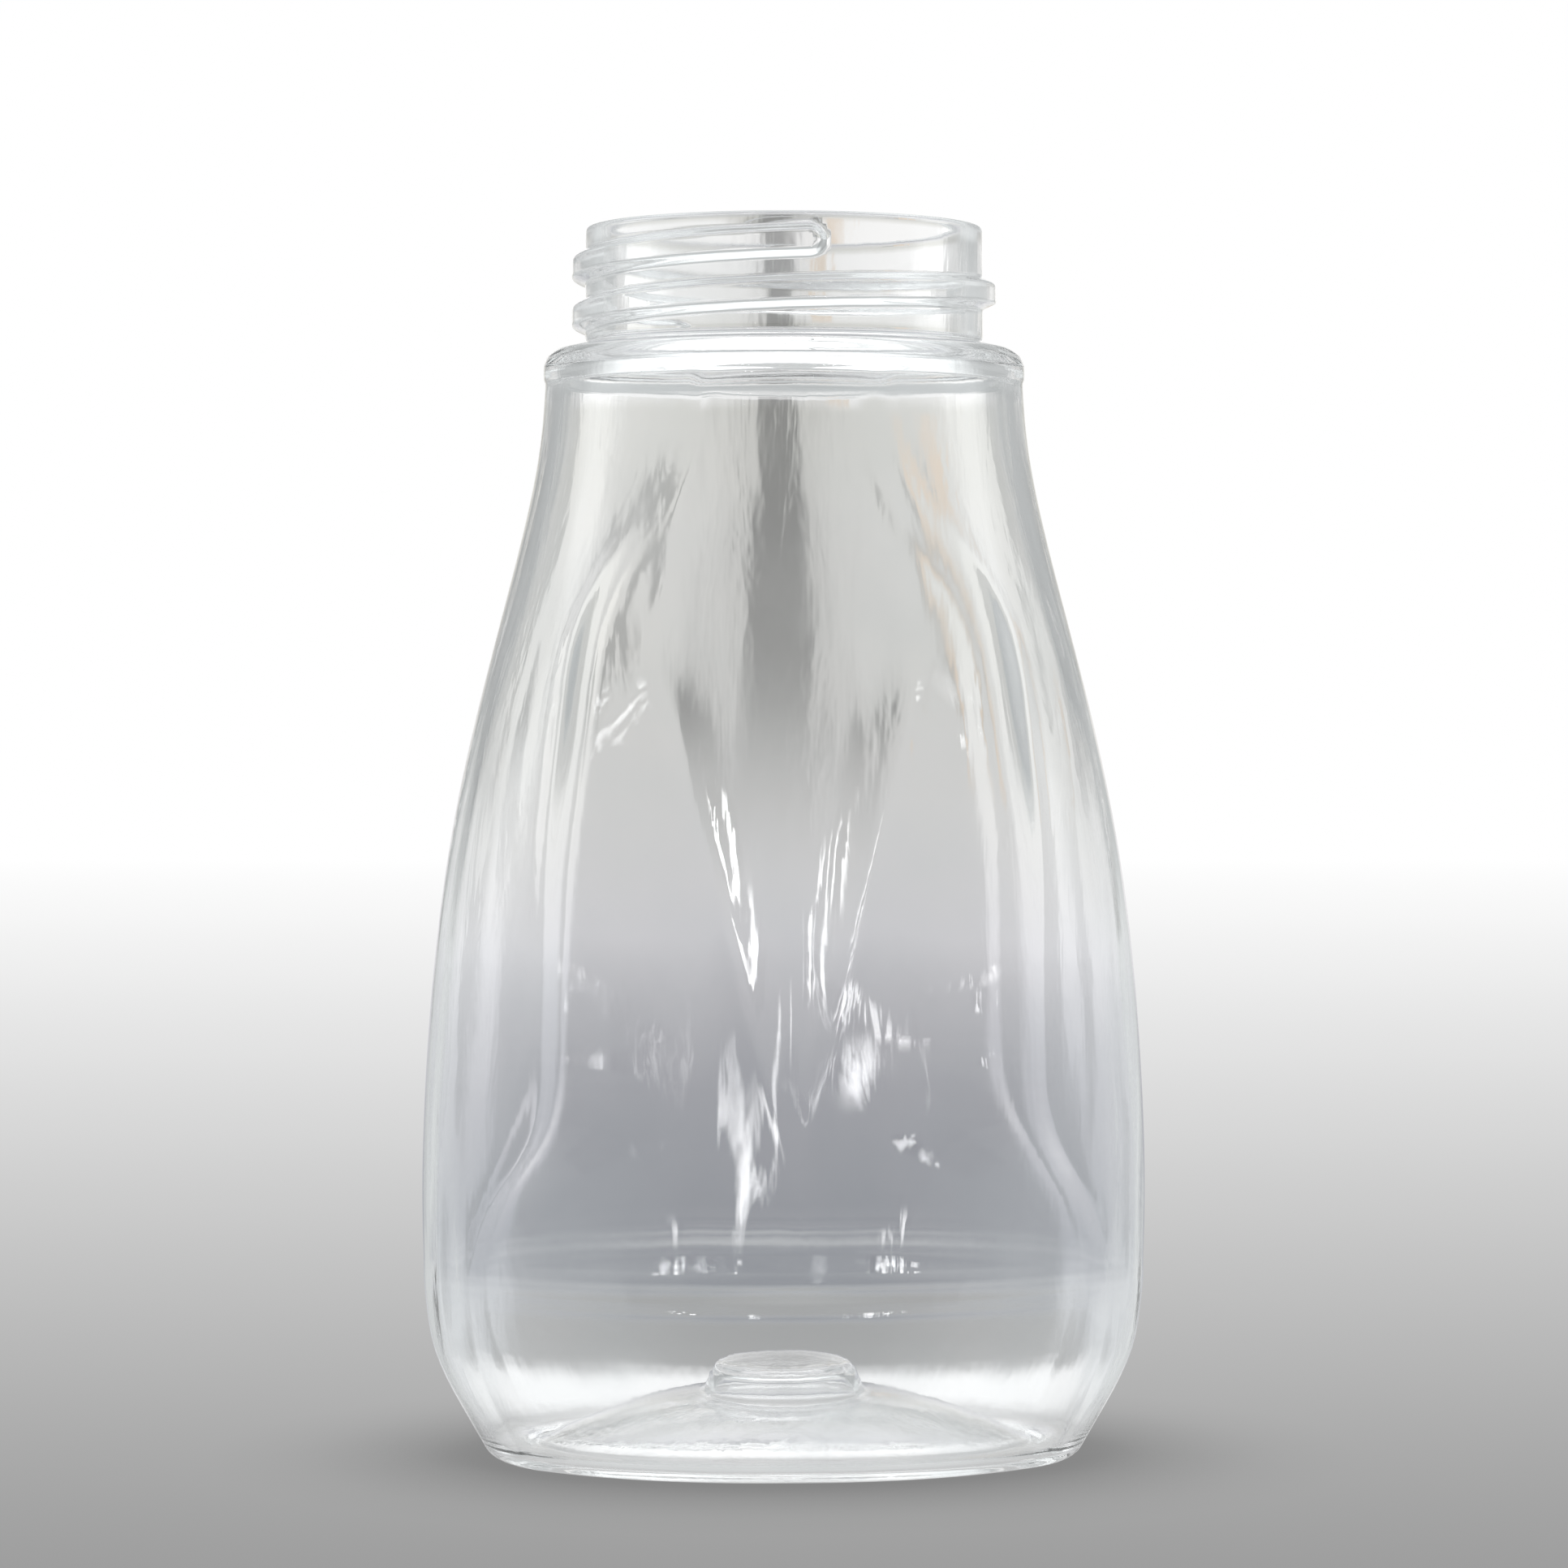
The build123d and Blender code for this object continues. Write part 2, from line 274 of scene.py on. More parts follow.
def body_rings(levels, inside):
    """The body's outline at each level, from the foot to the shoulder."""
    foot_levels = [LEDGE_HEIGHT * share for share, _ in FOOT_SHARES]
    foot = [
        foot_quarter(spread, blend(HEEL_WALL, BODY_WALL, share) if inside else 0)
        for share, spread in FOOT_SHARES
    ]
    panel_levels = [blend(PANEL_BOTTOM, COLLAR_LEVEL, row[0]) for row in PANEL_SHARES]
    panels = [
        panel_quarter(row, depth, blend(BODY_WALL, UPPER_WALL, wall) if inside else 0, bend)
        for row, depth, wall, bend in zip(PANEL_SHARES, DEPTH_SHARES, WALL_SHARES, PETAL_BENDS)
    ]
    lower = spline(foot_levels, foot, np.minimum(levels, LEDGE_HEIGHT))
    upper = spline(panel_levels, panels, np.maximum(levels, PANEL_BOTTOM))
    rise = np.clip((levels - LEDGE_HEIGHT) / LEDGE_RISE, 0, 1)[:, None, None]
    quarters = blend(lower, upper, rise)
    # the ledge's edges are rounded up and down the body
    softer = soften_rows(quarters, LEDGE_ROUND_INSIDE if inside else LEDGE_ROUND)
    near = ease(1 - np.abs(levels - LEDGE_HEIGHT - LEDGE_RISE / 2) / LEDGE_NEAR)
    quarters = blend(quarters, softer, near[:, None, None])
    even = ease((levels - EVEN_FROM) / (EVEN_TO - EVEN_FROM))
    crease = CREASE_ROUND_INSIDE if inside else CREASE_ROUND
    return np.array([rounded_ring(quarter, crease, e) for quarter, e in zip(quarters, even)])


def wall_waves(points, number, most, tall, height, seed):
    """Low waves in the blown wall at each point, in millimetres: number waves round the bottle
    of up to most turns each, tall times as long up it as round it, height high in all."""
    random = np.random.default_rng(seed)
    around = np.arctan2(points[..., 1] / BODY_DEPTH, points[..., 0] / BODY_WIDTH)
    mean_radius = 26.0
    total = np.zeros(points.shape[:-1])
    for _ in range(number):
        turns = random.integers(most // 3, most)
        lean = random.uniform(-1, 1) * turns / (mean_radius * tall)
        start = random.uniform(0, 2 * math.pi)
        size = random.uniform(0.4, 1.0) / turns * most / 2
        # each wave also swings from side to side on its way up
        swing = 1.2 * np.sin(points[..., 2] / random.uniform(7, 16) + random.uniform(0, 6))
        total += size * np.sin(turns * around + lean * points[..., 2] + start + swing)
    return height * total / number


def wave_hold(levels, start):
    """How much of the waves is there at each level: none at the foot and at the shoulder."""
    return ease((levels - start) / WAVES_RISE) * ease((COLLAR_LEVEL - levels) / WAVES_FALL)


def outward(ring):
    """Unit normals of a closed outline, pointing out of it."""
    along = np.roll(ring, -1, 0) - np.roll(ring, 1, 0)
    normal = np.stack([along[:, 1], -along[:, 0]], -1)
    return normal / np.linalg.norm(normal, axis=1)[:, None]


def push_out(rows, amount):
    """Moves each point of the wall's rows outwards, level by level."""
    flat = np.stack([outward(row[:, :2]) for row in rows])
    moved = rows.copy()
    moved[..., :2] += flat * amount[..., None]
    return moved


def with_level(rings, levels):
    """Outlines as rows of points in space, at one level for each ring or for each point."""
    levels = np.broadcast_to(np.reshape(levels, (len(rings), -1)), rings.shape[:2])
    return np.concatenate([rings, levels[..., None]], -1)


def steps_over(length):
    """Shares from one step up to 1 that divide length into fine steps."""
    count = max(2, int(round(length / STEP)))
    return np.arange(1, count + 1) / count


def base_rows(edge, grow):
    """The pushed-up base and its button, from the middle out to edge, the flat ring's outer
    outline. grow is 0 for the underside, and the base's wall for the upper side."""
    half = np.array([FOOT_WIDTH, FOOT_DEPTH]) / 2
    directions = np.arctan2(edge[:, 1] / half[1], edge[:, 0] / half[0])
    unit = np.stack([np.cos(directions), np.sin(directions)], -1)
    mouth = half - FOOT_ROUND - FOOT_LAND + grow / 2
    crown, top = BUTTON_RADIUS + grow / 2, BUTTON_TOP_RADIUS + grow / 2
    level = PUSH_HEIGHT + grow
    rows = []
    for share in steps_over(top):
        rows.append((unit * top * share, level + BUTTON_HEIGHT))
    for share in steps_over(BUTTON_HEIGHT):
        rows.append((unit * blend(top, crown, share), level + BUTTON_HEIGHT * (1 - share)))
    # the parabola from the button's foot through the bend to the floor
    curve = (PUSH_BEND_HEIGHT - 1 + PUSH_BEND_SPREAD) / (PUSH_BEND_SPREAD**2 - PUSH_BEND_SPREAD)
    for share in steps_over(mouth[0] - crown):
        height = level * (1 + (-1 - curve) * share + curve * share**2)
        if height < grow:
            break
        last = unit * blend(np.array([crown, crown]), mouth, share)
        rows.append((last, height))
    for share in steps_over(np.abs(edge[0] - last[0]).max()):
        rows.append((blend(last, edge, share), grow))
    return with_level(np.array([ring for ring, _ in rows]), np.array([z for _, z in rows]))


def foot_rows(rings, levels, floor):
    """The round between the flat foot and the wall. levels count from the floor, which is the
    level of the flat foot. Gives the flat foot's edge, the round's rows and the wall's rows."""
    ring = rings[0]
    normal = outward(ring)
    at = int(round(SLOPE_RUN / STEP))
    slope = ((rings[at] - ring) * normal).sum(-1) / (levels[at] - levels[0])
    bend = math.pi / 2 - np.arctan(slope)
    edge = ring - normal * (FOOT_ROUND * np.tan(bend / 2))[:, None]
    rows = []
    for share in steps_over(FOOT_ROUND):
        out = FOOT_ROUND * np.sin(bend * share)
        up = FOOT_ROUND * (1 - np.cos(bend * share))
        rows.append(with_level((edge + normal * out[:, None])[None], floor + up)[0])
    # each column's wall starts where its round ends, and is back on the levels after the run
    start = FOOT_ROUND * (1 - np.cos(bend))
    columns = np.arange(len(ring))
    wall = []
    for share in steps_over(HEEL_RUN):
        height = start + share * (HEEL_RUN - start)
        spot = np.clip(height / STEP, 0, len(rings) - 1.001)
        low = spot.astype(int)
        outline = blend(rings[low, columns], rings[low + 1, columns], (spot - low)[:, None])
        wall.append(with_level(outline[None], floor + height)[0])
    above = levels > levels[0] + HEEL_RUN + STEP / 2
    upper = with_level(rings, levels + floor)[above]
    return edge, np.array(rows), np.concatenate([np.array(wall), upper])


def turned_rows(profile, angles):
    """Rows of a surface of revolution through profile, a list of (radius, height)."""
    corners = np.array(profile)
    rows = [corners[:1]]
    for first, last in zip(corners[:-1], corners[1:]):
        rows.append(first + (last - first) * steps_over(np.linalg.norm(last - first))[:, None])
    line = np.concatenate(rows)
    unit = np.stack([np.cos(angles), np.sin(angles)], -1)
    return with_level(line[:, :1, None] * unit[None], line[:, 1])


def corner_points(centre, radius, start, end, steps=6):
    angles = np.radians(np.linspace(start, end, steps))
    return [(centre[0] + radius * math.cos(a), centre[1] + radius * math.sin(a)) for a in angles]


def thread_lift(angles, levels):
    """How far the thread stands out of the neck at each place."""
    top_level = OVERALL_HEIGHT - THREAD_TOP_GAP
    lift = np.zeros(np.broadcast(angles, levels).shape)
    for turn in range(-2, 2):
        place = np.degrees(angles) + 360 * turn
        held = np.clip(place, THREAD_TOP_ANGLE - 360 * THREAD_TURNS, THREAD_TOP_ANGLE)
        middle = top_level - THREAD_PITCH * (THREAD_TOP_ANGLE - held) / 360
        past = np.radians(place - held) * NECK_RADIUS
        away = np.hypot(levels - middle, past)
        rise = (THREAD_ROOT / 2 - away) / ((THREAD_ROOT - THREAD_CREST) / 2)
        lift = np.maximum(lift, THREAD_DEPTH * ease(rise))
    return lift


def outer_rows(levels):
    """The underside, the foot's round and the outer wall below the shoulder."""
    edge, round_rows, wall_rows = foot_rows(body_rings(levels, False), levels, 0.0)
    under = soften_rows(base_rows(edge, 0.0), EDGE_ROUND)
    inset = OUTER_INSET + wall_waves(wall_rows, **OUTER_WAVES)
    wall_rows = push_out(wall_rows, -wave_hold(wall_rows[..., 2], OUTER_WAVES_FROM) * inset)
    rounded = 6  # rows of the round that are softened with the underside
    low = soften_rows(np.concatenate([under, round_rows[:rounded]]), EDGE_ROUND)
    return np.concatenate([low, round_rows[rounded:], wall_rows[:-1]])


def inner_rows(levels):
    """The base's upper side, the round beside it and the inner wall below the shoulder."""
    inner_levels = np.arange(BASE_WALL, COLLAR_LEVEL + STEP / 2, STEP)
    inner_levels[-1] = COLLAR_LEVEL
    rings = body_rings(levels, True)[len(levels) - len(inner_levels):]
    edge, round_rows, wall_rows = foot_rows(rings, inner_levels - BASE_WALL, BASE_WALL)
    wall_levels = wall_rows[..., 2]
    thin = ease((THICKER_TO - wall_levels) / (THICKER_TO - THICKER_FROM))
    hold = wave_hold(wall_levels, INNER_WAVES_FROM) * blend(THICK_WALL_WAVES, 1.0, thin)
    wall_rows = push_out(wall_rows, hold * wall_waves(wall_rows, **INNER_WAVES))
    rounded = 40  # rows of the wall that are softened with the heel
    low = np.concatenate([base_rows(edge, BASE_WALL), round_rows, wall_rows[:rounded]])
    return np.concatenate([soften_rows(low, HEEL_ROUND_INSIDE), wall_rows[rounded:]])


def neck_rows():
    """The shoulder and the threaded neck outside, the rim, and the neck's inside down to the
    inner wall."""
    angles = np.arange(COLUMNS) * 2 * math.pi / COLUMNS
    neck_foot, rim_level = BODY_TOP + SHOULDER_RUN, OVERALL_HEIGHT - RIM_ROUND
    corner_level = BODY_TOP - SHOULDER_PITCH - SHOULDER_CORNER
    # the small step from the body's last outline out to the shoulder, and the shoulder
    shoulder = [(COLLAR_RADIUS + 0.02, COLLAR_LEVEL), (SHOULDER_RADIUS, COLLAR_LEVEL + 0.1)]
    shoulder += corner_points(
        (SHOULDER_RADIUS - SHOULDER_CORNER, corner_level), SHOULDER_CORNER, 0, 90)
    shoulder += [(NECK_RADIUS, BODY_TOP), (NECK_RADIUS, neck_foot)]
    shoulder = soften_rows(turned_rows(shoulder, angles), EDGE_ROUND)
    neck = turned_rows([(NECK_RADIUS, neck_foot), (NECK_RADIUS, rim_level)], angles)[1:]
    outside = np.concatenate([shoulder, neck])
    unit = np.stack([np.cos(angles), np.sin(angles), np.zeros(COLUMNS)], -1)
    outside = outside + thread_lift(angles[None], outside[..., 2])[..., None] * unit[None]

    rim = corner_points((NECK_RADIUS - RIM_ROUND, rim_level), RIM_ROUND, 0, 90)
    rim += corner_points((BORE_RADIUS + RIM_ROUND, rim_level), RIM_ROUND, 90, 180)
    rim = turned_rows(rim, angles)[1:]

    # the inside of the shoulder is a quarter of an ellipse, from the bore to the inner wall
    ceiling = BODY_TOP - SHOULDER_WALL
    across = COLLAR_RADIUS - UPPER_WALL - BORE_RADIUS
    inside = [(BORE_RADIUS, rim_level), (BORE_RADIUS, ceiling)]
    for a in np.radians(np.linspace(0, 90, 10)[1:]):
        height = COLLAR_LEVEL + (ceiling - COLLAR_LEVEL) * math.cos(a)
        inside.append((BORE_RADIUS + across * math.sin(a), height))
    inside = soften_rows(turned_rows(inside, angles), MOUTH_ROUND)[1:]
    return np.concatenate([outside, rim, inside])


def bottle_points():
    """Every row of the shell, from the middle of its underside out, up, over the rim, down the
    inside and back to the middle."""
    levels = np.arange(0, COLLAR_LEVEL + STEP / 2, STEP)
    levels[-1] = COLLAR_LEVEL
    inside = inner_rows(levels)
    return np.concatenate([outer_rows(levels), neck_rows(), inside[::-1][1:]])


def pick_rows(points, rows):
    """Picks rows so that they lie closer where the surface bends more, and closer on the neck."""
    columns = points[:, :: COLUMNS // 16]
    step = np.diff(columns, axis=0)
    length = np.linalg.norm(step, axis=2)
    unit = step / np.maximum(length, 1e-9)[..., None]
    turn = np.zeros(length.shape)
    turn[1:] = np.linalg.norm(np.diff(unit, axis=0), axis=2)
    cost = (length * LENGTH_COST + turn * BEND_COST).mean(1) + SHARPEST_COST * turn.max(1)
    first_column = points[1:, 0]
    neck = np.hypot(*first_column[:, :2].T) > NECK_RADIUS - 0.05
    neck &= first_column[:, 2] > BODY_TOP + 0.3
    neck &= first_column[:, 2] < OVERALL_HEIGHT - 0.5
    cost[neck] += NECK_COST * length.mean(1)[neck]
    total = np.concatenate([[0.0], np.cumsum(cost)])
    places = np.linspace(0, total[-1], rows)
    spots = np.interp(places, total, np.arange(len(total)))
    low = np.clip(spots.astype(int), 0, len(points) - 2)
    part = (spots - low)[:, None, None]
    return blend(points[low], points[low + 1], part)


def make_bottle():
    grid = pick_rows(bottle_points(), ROWS)
    lowest, highest = (np.array(corner) / MM for corner in cad_box)
    grid = np.clip(grid, lowest, highest)
    rows = len(grid)
    middles = [(0, 0, grid[0, 0, 2]), (0, 0, grid[-1, 0, 2])]
    vertices = np.concatenate([grid.reshape(-1, 3), middles])
    i = np.arange(rows - 1)[:, None] * COLUMNS
    j = np.arange(COLUMNS)[None]
    k = (j + 1) % COLUMNS
    quads = np.stack([i + j, i + k, i + COLUMNS + k, i + COLUMNS + j], -1).reshape(-1, 4)
    ends = []
    last = (rows - 1) * COLUMNS
    for column in range(COLUMNS):
        after = (column + 1) % COLUMNS
        ends.append((rows * COLUMNS, after, column))
        ends.append((rows * COLUMNS + 1, last + column, last + after))
    mesh = bpy.data.meshes.new("bottle_shell")
    mesh.from_pydata((vertices * MM).tolist(), [], quads.tolist() + ends)
    mesh.validate()
    mesh.update()
    mesh.shade_smooth()
    shell = bpy.data.objects.new("bottle_shell", mesh)
    bpy.context.scene.collection.objects.link(shell)
    return shell


shell = make_bottle()
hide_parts("bottle")
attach(shell, "root")


# Materials

def new_material(name):
    material = bpy.data.materials.new(name)
    material.use_nodes = True
    material.node_tree.nodes.clear()
    return material, material.node_tree.nodes, material.node_tree.links


def math_node(nodes, links, operation, *values):
    node = nodes.new("ShaderNodeMath")
    node.operation = operation
    for socket, value in zip(node.inputs, values):
        if isinstance(value, (int, float)):
            socket.default_value = value
        else:
            links.new(value, socket)
    return node.outputs["Value"]


def product(nodes, links, first, *others):
    for other in others:
        first = math_node(nodes, links, "MULTIPLY", first, other)
    return first


def distance(nodes, links, value, centre):
    """How far value is from centre."""
    return math_node(nodes, links, "ABSOLUTE", math_node(nodes, links, "SUBTRACT", value, centre))


def smooth_range(nodes, links, value, low, high, to_low=0.0, to_high=1.0):
    node = nodes.new("ShaderNodeMapRange")
    node.interpolation_type = "SMOOTHSTEP"
    node.inputs["From Min"].default_value = low
    node.inputs["From Max"].default_value = high
    node.inputs["To Min"].default_value = to_low
    node.inputs["To Max"].default_value = to_high
    links.new(value, node.inputs["Value"])
    return node.outputs["Result"]


def colour_ramp(nodes, links, value, stops):
    """A ramp through stops, each a place and a colour of three numbers."""
    ramp = nodes.new("ShaderNodeValToRGB")
    links.new(value, ramp.inputs["Fac"])
    elements = ramp.color_ramp.elements
    elements[0].position, elements[0].color = stops[0][0], (*stops[0][1], 1)
    elements[1].position, elements[1].color = stops[-1][0], (*stops[-1][1], 1)
    for position, colour in stops[1:-1]:
        made = elements.new(position)
        made.color = (*colour, 1)
    return ramp.outputs["Color"]


def clear_plastic():
    material, nodes, links = new_material("clear_plastic")
    out = nodes.new("ShaderNodeOutputMaterial")
    shader = nodes.new("ShaderNodeBsdfPrincipled")
    shader.inputs["Transmission Weight"].default_value = 1.0
    shader.inputs["IOR"].default_value = 1.575
    coords = nodes.new("ShaderNodeTexCoord")
    # drawn-out flow marks of the blown wall: millimetres wide and a few times as tall
    flow = nodes.new("ShaderNodeMapping")
    flow.inputs["Scale"].default_value = (1, 1, 0.22)
    links.new(coords.outputs["Object"], flow.inputs["Vector"])
    marks = nodes.new("ShaderNodeTexNoise")
    marks.inputs["Scale"].default_value = 330
    marks.inputs["Detail"].default_value = 3
    marks.inputs["Roughness"].default_value = 0.55
    marks.inputs["Distortion"].default_value = 0.4
    links.new(flow.outputs["Vector"], marks.inputs["Vector"])
    bump = nodes.new("ShaderNodeBump")
    bump.inputs["Strength"].default_value = 0.35
    bump.inputs["Distance"].default_value = 0.00006
    links.new(marks.outputs["Fac"], bump.inputs["Height"])
    links.new(bump.outputs["Normal"], shader.inputs["Normal"])
    # patches that are a little hazier and greyer, where the plastic cooled more slowly
    haze = nodes.new("ShaderNodeTexNoise")
    haze.inputs["Scale"].default_value = 90
    haze.inputs["Detail"].default_value = 4
    links.new(coords.outputs["Object"], haze.inputs["Vector"])
    rough = smooth_range(nodes, links, haze.outputs["Fac"], 0.40, 0.72, 0.015, 0.09)
    links.new(rough, shader.inputs["Roughness"])
    tint = colour_ramp(nodes, links, haze.outputs["Fac"], [
        (0.30, (0.985, 0.985, 0.987)), (0.75, (0.945, 0.957, 0.962))])
    links.new(tint, shader.inputs["Base Color"])
    links.new(shader.outputs["BSDF"], out.inputs["Surface"])
    return material


shell.data.materials.append(clear_plastic())


# Stage. The studio is turned with the camera, because the photo sees the bottle's front from a
# little to the left. Places and sizes are in metres from here on.

VIEW_TURN = math.radians(-2.6)
CAMERA_DISTANCE, CAMERA_HEIGHT = 0.425, 0.069
# the photo's width, its focal length and the row of its horizon, in its pixels
PHOTO_SIDE, FOCAL_LENGTH, HORIZON = 1932, 5950, 825

studio = bpy.data.objects.new("studio", None)
bpy.context.scene.collection.objects.link(studio)
studio.rotation_euler = (0, 0, VIEW_TURN)


def emission_material(name, colour, strength):
    material, nodes, links = new_material(name)
    out = nodes.new("ShaderNodeOutputMaterial")
    shader = nodes.new("ShaderNodeEmission")
    shader.inputs["Color"].default_value = (*colour, 1)
    shader.inputs["Strength"].default_value = strength
    links.new(shader.outputs["Emission"], out.inputs["Surface"])
    return material, nodes, links, shader, out


def card(name, width, height, place, facing, material, camera=False):
    """A flat stage card, width across and height up, centred at place and turned to facing."""
    mesh = bpy.data.meshes.new(name)
    w, h = width / 2, height / 2
    mesh.from_pydata([(-w, -h, 0), (w, -h, 0), (w, h, 0), (-w, h, 0)], [], [(0, 1, 2, 3)])
    mesh.materials.append(material)
    obj = bpy.data.objects.new(name, mesh)
    bpy.context.scene.collection.objects.link(obj)
    obj.location = place
    obj.rotation_mode = "QUATERNION"
    obj.rotation_quaternion = Vector(facing).to_track_quat("Z", "Y")
    obj.parent = studio
    obj.visible_camera = camera
    obj.visible_shadow = False
    return obj


def soft_card(name, width, height, place, facing, colour, strength, edge=0.3):
    """A glowing card that fades out towards its edges, seen only in the bottle. Gives its node
    tree, its shader and its own coordinates, which go from 0 to 1 across and up."""
    material, nodes, links, shader, out = emission_material(name, colour, strength)
    coords = nodes.new("ShaderNodeTexCoord")
    split = nodes.new("ShaderNodeSeparateXYZ")
    links.new(coords.outputs["Generated"], split.inputs["Vector"])
    masks = []
    for axis in ("X", "Y"):
        away = distance(nodes, links, split.outputs[axis], 0.5)
        masks.append(smooth_range(nodes, links, away, 0.5, 0.5 - edge))
    clear = nodes.new("ShaderNodeBsdfTransparent")
    mix = nodes.new("ShaderNodeMixShader")
    links.new(product(nodes, links, *masks), mix.inputs["Fac"])
    links.new(clear.outputs["BSDF"], mix.inputs[1])
    links.new(shader.outputs["Emission"], mix.inputs[2])
    links.new(mix.outputs["Shader"], out.inputs["Surface"])
    card(name, width, height, place, facing, material)
    return nodes, links, shader, split.outputs["X"], split.outputs["Y"]


def floor():
    """Pale paper that only the camera sees, painted with shade: grey at the bottle, white far
    off.
    """
    material, nodes, links, shader, _ = emission_material("floor_paper", (1, 1, 1), 1.0)
    place = nodes.new("ShaderNodeTexCoord")
    place.object = studio
    split = nodes.new("ShaderNodeSeparateXYZ")
    links.new(place.outputs["Object"], split.inputs["Vector"])
    # its painted grey shade follows the depth behind the bottle, and beyond what the photo's view
    # sees of the front and the sides it turns white there too
    front = math_node(nodes, links, "MULTIPLY_ADD", split.outputs["Y"], -1.0, -0.12)
    side = math_node(nodes, links, "ABSOLUTE", split.outputs["X"])
    side = math_node(nodes, links, "SUBTRACT", side, 0.36)
    reach = math_node(nodes, links, "MAXIMUM", split.outputs["Y"], front)
    reach = math_node(nodes, links, "MAXIMUM", reach, side)
    near, far = -0.06, 1.34
    depth = nodes.new("ShaderNodeMapRange")
    depth.inputs["From Min"].default_value = near
    depth.inputs["From Max"].default_value = far
    links.new(reach, depth.inputs["Value"])
    # from the grey at the photo's lower edge to white at its row 1060
    grey, white, white_row = 156, 255, 1060
    stops = []
    for row in (PHOTO_SIDE, 1800, 1700, 1600, 1500, 1400, 1300, 1200, 1130, white_row):
        y = CAMERA_HEIGHT * FOCAL_LENGTH / (row - HORIZON) - CAMERA_DISTANCE
        level = blend(grey, white, ((PHOTO_SIDE - row) / (PHOTO_SIDE - white_row)) ** 1.12)
        stops.append(((y - near) / (far - near), ((level / white) ** 2.2,) * 3))
    stops[0] = (0.0, stops[0][1])
    stops.append((1.0, (1, 1, 1)))
    links.new(colour_ramp(nodes, links, depth.outputs["Result"], stops), shader.inputs["Color"])
    # a soft painted shade where the foot stands on the paper
    shade = nodes.new("ShaderNodeAmbientOcclusion")
    shade.inputs["Distance"].default_value = 0.022
    shade.samples = 8
    contact = smooth_range(nodes, links, shade.outputs["AO"], 0.35, 1.0, 0.62, 1.0)
    links.new(contact, shader.inputs["Strength"])
    obj = card("floor", 12, 12, (0, 0, 0), (0, 0, 1), material, camera=True)
    obj.visible_transmission = False
    obj.visible_glossy = False
    obj.visible_diffuse = False


def room():
    """The world: white to the camera, and in the bottle a room that is lighter at its sides and
    underneath, bright overhead, darker in front, and darker behind the bottle above the bench."""
    world = bpy.data.worlds.new("studio")
    bpy.context.scene.world = world
    world.use_nodes = True
    nodes, links = world.node_tree.nodes, world.node_tree.links
    nodes.clear()
    out = nodes.new("ShaderNodeOutputWorld")
    seen = nodes.new("ShaderNodeBackground")
    seen.inputs["Color"].default_value = (1, 1, 1, 1)
    mirrored = nodes.new("ShaderNodeBackground")
    mirrored.inputs["Color"].default_value = (0.97, 1.0, 1.0, 1)
    mix = nodes.new("ShaderNodeMixShader")
    path = nodes.new("ShaderNodeLightPath")
    links.new(path.outputs["Is Camera Ray"], mix.inputs["Fac"])
    links.new(mirrored.outputs["Background"], mix.inputs[1])
    links.new(seen.outputs["Background"], mix.inputs[2])
    links.new(mix.outputs["Shader"], out.inputs["Surface"])
    coords = nodes.new("ShaderNodeTexCoord")
    split = nodes.new("ShaderNodeSeparateXYZ")
    links.new(coords.outputs["Generated"], split.inputs["Vector"])
    x, y, z = (split.outputs[axis] for axis in "XYZ")
    aside = math_node(nodes, links, "ABSOLUTE", x)
    sides = smooth_range(nodes, links, aside, 0.10, 0.75, 0.55, 0.85)
    overhead = smooth_range(nodes, links, z, 0.45, 0.75, 1.0, 2.5)
    front = smooth_range(nodes, links, y, -0.9, -0.3, 0.75, 1.0)
    below = smooth_range(nodes, links, z, -0.60, -0.30, 1.4, 1.0)
    behind = smooth_range(nodes, links, y, 0.05, 0.35)
    above_bench = smooth_range(nodes, links, z, 0.03, 0.12)
    off_middle = smooth_range(nodes, links, aside, 0.14, 0.30)
    dark = product(nodes, links, behind, above_bench, off_middle)
    dark = smooth_range(nodes, links, dark, 0.0, 1.0, 1.0, 0.62)
    level = product(nodes, links, sides, overhead, front, dark, below)
    links.new(level, mirrored.inputs["Strength"])


def between(nodes, links, value, low, high, fade):
    """1 between low and high, fading to 0 at both ends: one fade for each end."""
    rise = smooth_range(nodes, links, value, low, low + fade[0])
    fall = smooth_range(nodes, links, value, high, high - fade[1])
    return product(nodes, links, rise, fall)


